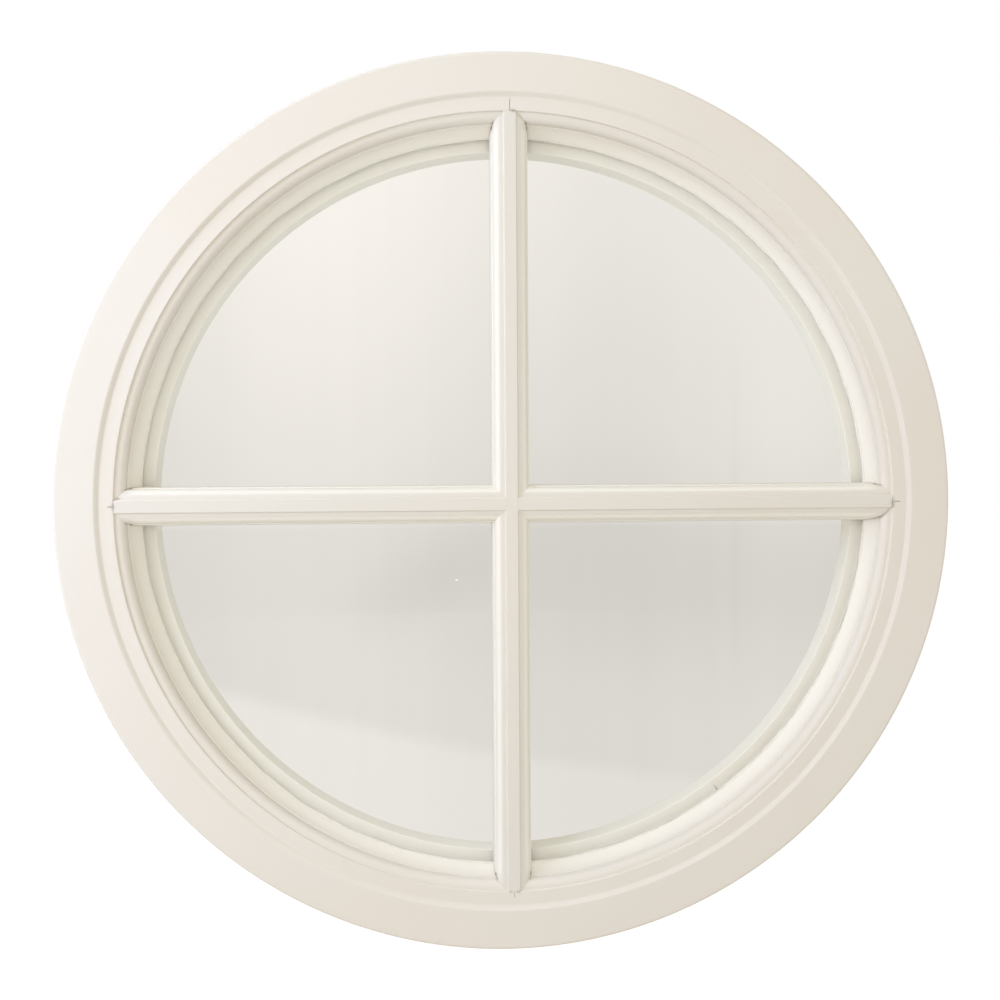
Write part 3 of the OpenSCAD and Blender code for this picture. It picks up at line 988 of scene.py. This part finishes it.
# Lamps: name, place in metres, width of the disc, power in watts, tint, and the pieces that it lights, if
# not all. The two wells lie over the panes, for light that the pale timber throws about.
LAMPS = [
    ("key", (-0.85, -0.46, 0.25), 0.7, 3.8, (0.72, 0.785, 1.0), None),
    ("upper_left", (-1.0, -0.5, 0.9), 0.9, 3.5, (0.59, 0.721, 1.0), None),
    ("upper_left_haze", (-1.0, -0.5, 0.9), 0.9, 4.0, (0.59, 0.721, 1.0), None),
    ("overhead", (0.0, -0.5, 1.3), 0.9, 2.4, (0.963, 1.0, 0.874), None),
    ("right", (1.3, -0.5, 0.1), 0.9, 2.6, (0.616, 0.809, 1.0), None),
    ("front", (-0.1, -1.6, 0.15), 1.2, 6.1, (1.0, 0.963, 0.927), None),
    ("ring_well", (0.0, -0.0115, 0.0), 0.498, 0.19, (0.91, 1.0, 1.0), RING_PIECES),
    ("bar_well", (0.0, -0.0158, 0.0), 0.5, 0.1, (0.91, 1.0, 0.95), FRONT_BARS),
    ("room", (0.0, 0.45, 0.0), 0.6, 0.7, (0.8, 1.0, 0.97), None),
]

# Lamps whose light passes the front bars, so that the bars' shadows stay as faint as hazy light makes them
HAZE = ("upper_left_haze",)


class StageSettings(bpy.types.PropertyGroup):
    """Camera place and light levels."""

    camera_place: FloatVectorProperty(name="Camera place", default=(-0.0445, -0.6564, 0.0151), unit="LENGTH")
    turn: angle_of("Turn", "Camera's turn to the right", 3.268)
    tilt: angle_of("Tilt", "Camera's tilt downwards", 1.103)
    roll: angle_of("Roll", "Camera's roll", -0.35)
    focal_pixels: FloatProperty(name="Focal length", description="In pixels of the picture", default=957.5)
    fill: colour("Fill", "Even light all round", (0.388, 0.331, 0.257))
    bounce: colour("Bounce", "Light off the floor", (0.23, 0.219, 0.203))
    through_glass: colour("Seen through glass", "Pale wall behind the glass", (0.704, 0.675, 0.633))
    mirrored: colour("Mirrored room", "Room that glass and gloss mirror", (1.0, 0.985, 0.96))


class WINDOW_OT_stage(bpy.types.Operator):
    """Make the camera, the floor, the backdrop and the lights"""

    bl_idname = "round_window.stage"
    bl_label = "Stage"

    def execute(self, context):
        scene = context.scene
        settings = scene.window_stage
        scene.view_settings.view_transform = "Standard"
        self.make_camera(scene, settings)
        self.make_world(scene, settings)
        self.make_floor(scene, settings)
        for name, place, size, power, tint, pieces in LAMPS:
            light = self.soft_light(scene, name, Vector(place), size, power, tint)
            if pieces:
                self.light_only(light, pieces)
            if name in HAZE:
                self.light_past(light, FRONT_BARS)
        self.make_backdrop(scene, settings)
        return {"FINISHED"}

    def make_camera(self, scene, settings):
        data = bpy.data.cameras.new("camera")
        data.sensor_width = 36
        data.lens = settings.focal_pixels * data.sensor_width / PHOTO_PIXELS
        data.clip_start = 0.01
        camera = bpy.data.objects.new("camera", data)
        level = math.cos(settings.tilt)
        down = -math.sin(settings.tilt)
        forward = Vector((math.sin(settings.turn) * level, math.cos(settings.turn) * level, down))
        aim = forward.to_track_quat("-Z", "Y").to_matrix() @ Matrix.Rotation(settings.roll, 3, "Z")
        camera.matrix_world = Matrix.Translation(settings.camera_place) @ aim.to_4x4()
        scene.collection.objects.link(camera)
        scene.camera = camera

    def make_world(self, scene, settings):
        world = bpy.data.worlds.new("backdrop")
        world.use_nodes = True
        tree = world.node_tree
        level = by_ray(tree, 1.0, settings.mirrored, settings.through_glass, settings.fill)
        feed(tree, tree.nodes["Background"], {"Color": level})
        scene.world = world

    def stage_sheet(self, scene, name, corners):
        """Flat four-cornered sheet of the stage, with a material of its own."""
        mesh = bpy.data.meshes.new(name)
        mesh.from_pydata(corners, [], [(0, 1, 2, 3)])
        material, tree, shader = new_material(name)
        mesh.materials.append(material)
        sheet = bpy.data.objects.new(name, mesh)
        scene.collection.objects.link(sheet)
        return sheet, tree, shader

    def make_floor(self, scene, settings):
        reach = 6.0
        level = CAD_BOX[0][2]
        corners = [(x * reach, y * reach, level) for x, y in ((-1, -1), (1, -1), (1, 1), (-1, 1))]
        floor, tree, shader = self.stage_sheet(scene, "pale_floor", corners)
        floor.visible_glossy = False
        glow = by_ray(tree, camera=0.9, glossy=0.0, through=0.0, other=settings.bounce)
        feed(tree, shader, {"Emission Color": glow, "Emission Strength": 1.0})
        feed(tree, shader, {"Base Color": (0.5, 0.49, 0.47, 1), "Roughness": 0.9, "Specular IOR Level": 0.0})

    def soft_light(self, scene, name, place, size, power, tint):
        """Round area light that faces the window and isn't mirrored in it."""
        data = bpy.data.lights.new(name, "AREA")
        data.shape = "DISK"
        data.size = size
        data.energy = power
        data.color = tint
        light = bpy.data.objects.new(name, data)
        for ray in ("camera", "glossy", "transmission"):
            setattr(light, "visible_" + ray, False)
        aim = (-place).to_track_quat("-Z", "Y").to_matrix()
        light.matrix_world = Matrix.Translation(place) @ aim.to_4x4()
        scene.collection.objects.link(light)
        return light

    def gather(self, name, starts):
        """Collection of the pieces whose names start as given."""
        found = [piece for piece in bpy.data.objects if piece.name.startswith(starts)]
        if not found:
            raise RuntimeError("no pieces yet for " + name)
        collection = bpy.data.collections.new(name)
        for piece in found:
            collection.objects.link(piece)
        return collection

    def light_only(self, light, starts):
        """Lets a light fall only on the pieces whose names start as given."""
        light.light_linking.receiver_collection = self.gather(light.name + "_lit", starts)

    def light_past(self, light, starts):
        """Lets a light pass the pieces whose names start as given, without a shadow."""
        passed = self.gather(light.name + "_passed", starts)
        for entry in passed.collection_objects:
            entry.light_linking.link_state = "EXCLUDE"
        light.light_linking.blocker_collection = passed

    def make_backdrop(self, scene, settings):
        """Pale wall close behind the panes, seen only through them.

        Its level is the plain level with fine upright streaks of noise, plus soft patches of painted light
        and shade, each smoothstep(1 - d) with d the distance from the patch's middle over its half size,
        plus a brighter foot of painted light under a slanting edge.
        """
        y = WALL_Y
        half = WALL_HALF
        low = CAD_BOX[0][2] + 1 * MM
        corners = [(-half, y, low), (half, y, low), (half, y, WALL_TOP), (-half, y, WALL_TOP)]
        wall, tree, shader = self.stage_sheet(scene, "pale_wall", corners)
        tree.nodes.remove(shader)
        for ray in ("camera", "diffuse", "glossy", "shadow"):
            setattr(wall, "visible_" + ray, False)
        place = add(tree, "TexCoord").outputs["Object"]
        streaks = noise(tree, stretched(tree, place, (38, 1, 1.2)), 1.0, 2.0)
        level = ramp(tree, streaks, 0.25, 0.75, 1.025, 1.05)
        for (x, z), (wide, tall), turn, lift in PAINTED_WALL_LIGHT:
            spin = (0, -math.radians(turn), 0)
            inputs = {"Vector": place, "Location": (x, y, z), "Rotation": spin, "Scale": (wide, 1, tall)}
            within = add(tree, "Mapping", inputs, vector_type="TEXTURE")
            away = add(tree, "VectorMath", {0: within.outputs["Vector"]}, operation="LENGTH")
            patch = ramp(tree, away.outputs["Value"], 1.0, 0.0, way="SMOOTHSTEP")
            level = value_math(tree, "ADD", level, value_math(tree, "MULTIPLY", patch, lift))
        away = add(tree, "VectorMath", {0: place, 1: FOOT_MIDDLE}, operation="DISTANCE")
        below = ramp(tree, away.outputs["Value"], *FOOT_EDGE, way="SMOOTHSTEP")
        parts = add(tree, "SeparateXYZ", {0: place})
        fade = ramp(tree, parts.outputs["X"], *FOOT_FADE, 0.0, FOOT_LIFT)
        level = value_math(tree, "ADD", level, value_math(tree, "MULTIPLY", below, fade))
        emission = add(tree, "Emission", {"Color": rgba(settings.through_glass), "Strength": level})
        tree.links.new(emission.outputs["Emission"], tree.nodes["Material Output"].inputs["Surface"])


STEPS = [
    WINDOW_OT_felloes,
    WINDOW_OT_beads,
    WINDOW_OT_front_bars,
    WINDOW_OT_rear_bars,
    WINDOW_OT_glass,
    WINDOW_OT_bedding,
    WINDOW_OT_fixings,
    WINDOW_OT_stage,
]


class WINDOW_PT_panel(bpy.types.Panel):
    """Lists the window's pieces and their sizes"""

    bl_idname = "WINDOW_PT_round_window"
    bl_label = "Round window"
    bl_space_type = "VIEW_3D"
    bl_region_type = "UI"
    bl_category = "Round window"

    def draw(self, context):
        for step in STEPS:
            self.layout.operator(step.bl_idname)
        for key in GROUPS:
            group = getattr(context.scene, key)
            box = self.layout.box()
            for name in group.__annotations__:
                box.prop(group, name)


GROUPS = {
    "window_ring": RingSizes,
    "window_moulding": MouldingSizes,
    "window_colours": FinishColours,
    "window_stage": StageSettings,
}


def register():
    for group in GROUPS.values():
        bpy.utils.register_class(group)
    for name, group in GROUPS.items():
        setattr(bpy.types.Scene, name, PointerProperty(type=group))
    for step in STEPS:
        bpy.utils.register_class(step)
    bpy.utils.register_class(WINDOW_PT_panel)


def unregister():
    bpy.utils.unregister_class(WINDOW_PT_panel)
    for step in reversed(STEPS):
        bpy.utils.unregister_class(step)
    for name, group in GROUPS.items():
        delattr(bpy.types.Scene, name)
        bpy.utils.unregister_class(group)


def main():
    register()
    for step in STEPS:
        family, name = step.bl_idname.split(".")
        if getattr(getattr(bpy.ops, family), name)() != {"FINISHED"}:
            raise RuntimeError(step.bl_label + " did not finish")


if __name__ == "__main__":
    main()
